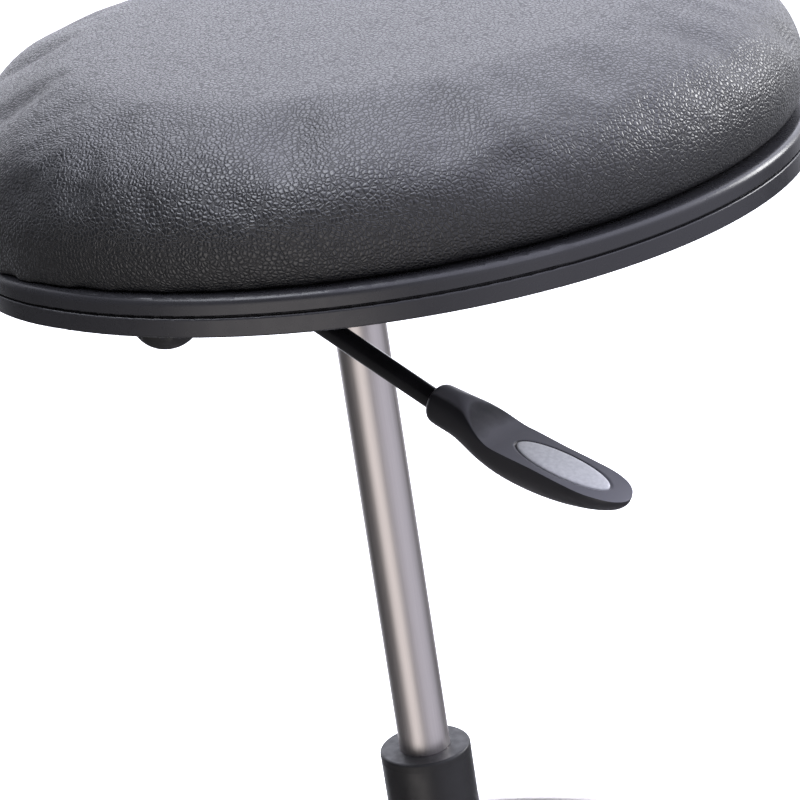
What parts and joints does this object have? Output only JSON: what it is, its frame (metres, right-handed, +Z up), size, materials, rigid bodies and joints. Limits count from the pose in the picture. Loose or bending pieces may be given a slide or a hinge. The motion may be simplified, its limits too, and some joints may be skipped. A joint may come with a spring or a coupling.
{
  "type": "drafting chair",
  "caption": "Tall swivel chair with round padded seat, adjustable backrest, gas lift with hand lever, height-adjustable foot ring and rolling star base.",
  "frame": {"origin": "on the floor under the gas column's axis", "axes": "+Z up along the column; the sitter faces -Y; the sitter's right hand and the height lever are on -X"},
  "size_m": [0.6848, 0.661, 1.2329],
  "materials": {
    "cast_aluminium": "satin",
    "black_steel": "satin",
    "gloss_black_steel": "gloss",
    "satin_nickel": "satin",
    "bright_steel": "polished",
    "zinc_steel": "satin",
    "charcoal_plastic": "satin",
    "black_plastic": "matte",
    "soft_touch_plastic": "matte",
    "grey_inset": "satin",
    "plywood": "matte",
    "foam": "matte",
    "black_vinyl": "satin",
    "white_acetal": "satin",
    "caster_tread": "matte"
  },
  "bodies": {
    "base": {"base_star": "cast_aluminium", "column_outer_tube": "black_steel", "column_bushing": "black_plastic", "bearing_lower_race": "zinc_steel"},
    "rod": {"piston_rod": "bright_steel", "piston_head": "white_acetal", "bearing_upper_race": "zinc_steel", "bearing_balls": "bright_steel", "rod_clip": "zinc_steel"},
    "seat": {"pressure_tube": "satin_nickel", "rod_guide": "white_acetal", "taper_socket": "black_steel", "mechanism_plate": "black_steel", "back_bar_channel": "black_steel", "lever_pivot_pin": "zinc_steel", "seat_fasteners": "zinc_steel", "seat_board": "plywood", "seat_rim": "charcoal_plastic", "seat_under_cover": "charcoal_plastic", "seat_foam": "foam", "seat_upholstery": "black_vinyl"},
    "button": {"release_button": "zinc_steel"},
    "lever": {"lever_rod": "gloss_black_steel", "release_finger": "zinc_steel", "lever_handle": "soft_touch_plastic", "lever_inset": "grey_inset"},
    "depth_clamp": {"depth_knob": "black_plastic"},
    "bar": {"back_bar": "black_steel"},
    "back": {"back_bracket": "black_steel", "back_board": "plywood", "back_rim": "charcoal_plastic", "back_cover": "charcoal_plastic", "back_foam": "foam", "back_upholstery": "black_vinyl", "back_screws": "zinc_steel"},
    "back_clamp": {"back_knob": "black_plastic"},
    "foot_ring": {"foot_ring_hoop": "satin_nickel", "foot_ring_collar": "satin_nickel", "foot_ring_bush": "black_plastic"},
    "foot_clamp": {"foot_ring_knob": "black_plastic"},
    "caster_1": {"caster_1_hood": "black_plastic", "caster_1_pins": "zinc_steel"},
    "wheel_1_left": {"caster_1_wheel_left": "caster_tread"},
    "wheel_1_right": {"caster_1_wheel_right": "caster_tread"},
    "caster_2": {"caster_2_hood": "black_plastic", "caster_2_pins": "zinc_steel"},
    "wheel_2_left": {"caster_2_wheel_left": "caster_tread"},
    "wheel_2_right": {"caster_2_wheel_right": "caster_tread"},
    "caster_3": {"caster_3_hood": "black_plastic", "caster_3_pins": "zinc_steel"},
    "wheel_3_left": {"caster_3_wheel_left": "caster_tread"},
    "wheel_3_right": {"caster_3_wheel_right": "caster_tread"},
    "caster_4": {"caster_4_hood": "black_plastic", "caster_4_pins": "zinc_steel"},
    "wheel_4_left": {"caster_4_wheel_left": "caster_tread"},
    "wheel_4_right": {"caster_4_wheel_right": "caster_tread"},
    "caster_5": {"caster_5_hood": "black_plastic", "caster_5_pins": "zinc_steel"},
    "wheel_5_left": {"caster_5_wheel_left": "caster_tread"},
    "wheel_5_right": {"caster_5_wheel_right": "caster_tread"}
  },
  "joints": [
    {"name": "seat_swivel", "type": "hinge", "parent": "base", "child": "rod", "pos_m": [0, 0, 0.08], "axis": [0, 0, 1], "continuous": true},
    {"name": "seat_height", "type": "slide", "parent": "rod", "child": "seat", "axis": [0, 0, 1], "range_m": [-0.25, 0]},
    {"name": "height_lever", "type": "hinge", "parent": "seat", "child": "lever", "pos_m": [-0.024, 0.044, 0.7441], "axis": [0, 1, 0], "range_deg": [0, 9], "stiffness_Nm_per_rad": 1.5, "springref_deg": -5.73},
    {"name": "release_button", "type": "slide", "parent": "seat", "child": "button", "axis": [0, 0, 1], "range_m": [-0.0045, 0]},
    {"name": "bar_depth", "type": "slide", "parent": "seat", "child": "bar", "axis": [0, 1, 0], "range_m": [0, 0.028]},
    {"name": "depth_knob_turn", "type": "hinge", "parent": "seat", "child": "depth_clamp", "pos_m": [0, 0.099, 0.7141], "axis": [0, 0, 1], "range_deg": [0, 360]},
    {"name": "back_height", "type": "slide", "parent": "bar", "child": "back", "axis": [0, 0.1045, 0.9945], "range_m": [-0.04, 0.04]},
    {"name": "back_knob_turn", "type": "hinge", "parent": "back", "child": "back_clamp", "pos_m": [0, 0.29941, 1.07322], "axis": [0, 0.9945, -0.1045], "range_deg": [0, 360]},
    {"name": "foot_ring_height", "type": "slide", "parent": "base", "child": "foot_ring", "axis": [0, 0, 1], "range_m": [-0.1, 0.06]},
    {"name": "foot_knob_turn", "type": "hinge", "parent": "foot_ring", "child": "foot_clamp", "pos_m": [0, -0.05, 0.313], "axis": [0, 1, 0], "range_deg": [0, 360]},
    {"name": "caster_1_swivel", "type": "hinge", "parent": "base", "child": "caster_1", "pos_m": [0, 0.3, 0.07], "axis": [0, 0, 1], "continuous": true},
    {"name": "wheel_1_left_roll", "type": "hinge", "parent": "caster_1", "child": "wheel_1_left", "pos_m": [-0.01414, 0.31685, 0.03], "axis": [-0.766, -0.6428, 0], "continuous": true},
    {"name": "wheel_1_right_roll", "type": "hinge", "parent": "caster_1", "child": "wheel_1_right", "pos_m": [-0.01414, 0.31685, 0.03], "axis": [-0.766, -0.6428, 0], "continuous": true},
    {"name": "caster_2_swivel", "type": "hinge", "parent": "base", "child": "caster_2", "pos_m": [-0.28532, 0.0927, 0.07], "axis": [0, 0, 1], "continuous": true},
    {"name": "wheel_2_left_roll", "type": "hinge", "parent": "caster_2", "child": "wheel_2_left", "pos_m": [-0.30572, 0.08446, 0.03], "axis": [0.3746, -0.9272, 0], "continuous": true},
    {"name": "wheel_2_right_roll", "type": "hinge", "parent": "caster_2", "child": "wheel_2_right", "pos_m": [-0.30572, 0.08446, 0.03], "axis": [0.3746, -0.9272, 0], "continuous": true},
    {"name": "caster_3_swivel", "type": "hinge", "parent": "base", "child": "caster_3", "pos_m": [-0.17634, -0.24271, 0.07], "axis": [0, 0, 1], "continuous": true},
    {"name": "wheel_3_left_roll", "type": "hinge", "parent": "caster_3", "child": "wheel_3_left", "pos_m": [-0.1748, -0.26465, 0.03], "axis": [0.9976, 0.0698, 0], "continuous": true},
    {"name": "wheel_3_right_roll", "type": "hinge", "parent": "caster_3", "child": "wheel_3_right", "pos_m": [-0.1748, -0.26465, 0.03], "axis": [0.9976, 0.0698, 0], "continuous": true},
    {"name": "caster_4_swivel", "type": "hinge", "parent": "base", "child": "caster_4", "pos_m": [0.17634, -0.24271, 0.07], "axis": [0, 0, 1], "continuous": true},
    {"name": "wheel_4_left_roll", "type": "hinge", "parent": "caster_4", "child": "wheel_4_left", "pos_m": [0.19768, -0.24803, 0.03], "axis": [0.2419, 0.9703, 0], "continuous": true},
    {"name": "wheel_4_right_roll", "type": "hinge", "parent": "caster_4", "child": "wheel_4_right", "pos_m": [0.19768, -0.24803, 0.03], "axis": [0.2419, 0.9703, 0], "continuous": true},
    {"name": "caster_5_swivel", "type": "hinge", "parent": "base", "child": "caster_5", "pos_m": [0.28532, 0.0927, 0.07], "axis": [0, 0, 1], "continuous": true},
    {"name": "wheel_5_left_roll", "type": "hinge", "parent": "caster_5", "child": "wheel_5_left", "pos_m": [0.29697, 0.11136, 0.03], "axis": [-0.848, 0.5299, 0], "continuous": true},
    {"name": "wheel_5_right_roll", "type": "hinge", "parent": "caster_5", "child": "wheel_5_right", "pos_m": [0.29697, 0.11136, 0.03], "axis": [-0.848, 0.5299, 0], "continuous": true}
  ],
  "couplings": [
    {"joint": "release_button", "follows": "height_lever", "m_per_rad": -0.026}
  ]
}
